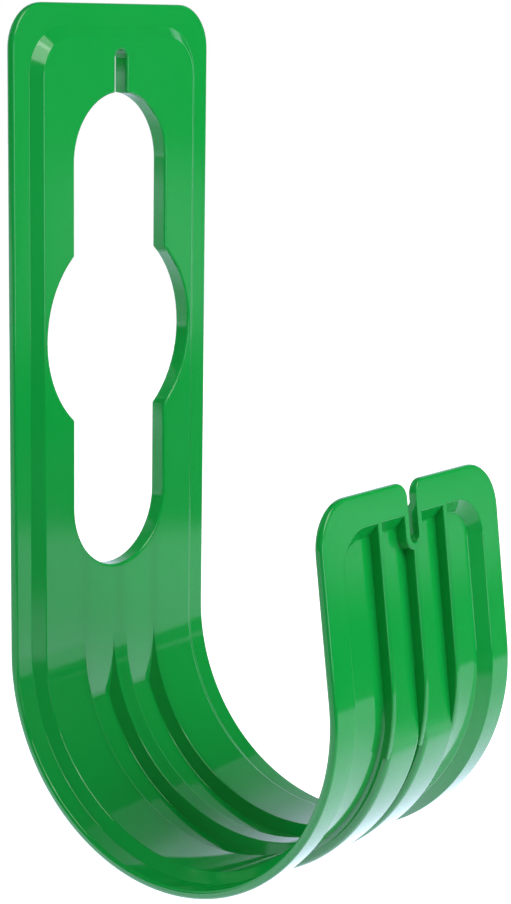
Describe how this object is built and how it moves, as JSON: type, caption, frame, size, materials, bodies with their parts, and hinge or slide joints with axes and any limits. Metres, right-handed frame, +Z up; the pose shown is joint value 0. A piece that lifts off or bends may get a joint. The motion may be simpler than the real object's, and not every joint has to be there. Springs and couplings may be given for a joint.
{
  "type": "hose hanger",
  "caption": "Wall hanger for a coiled garden hose: a moulded plastic strip bent to a J, with a tap opening and a screw slot in its back plate and ribs round its curve and lip.",
  "frame": {"origin": "centre of the round upper end of the screw slot, in the wall plane", "axes": "+Z up along the back plate, +Y into the wall, +X along the width of the strip"},
  "size_m": [0.08, 0.11, 0.23],
  "materials": {
    "moulded_plastic": "glossy, smooth moulded surface"
  },
  "bodies": {
    "root": {"hose_hanger": "moulded_plastic"}
  },
  "joints": []
}
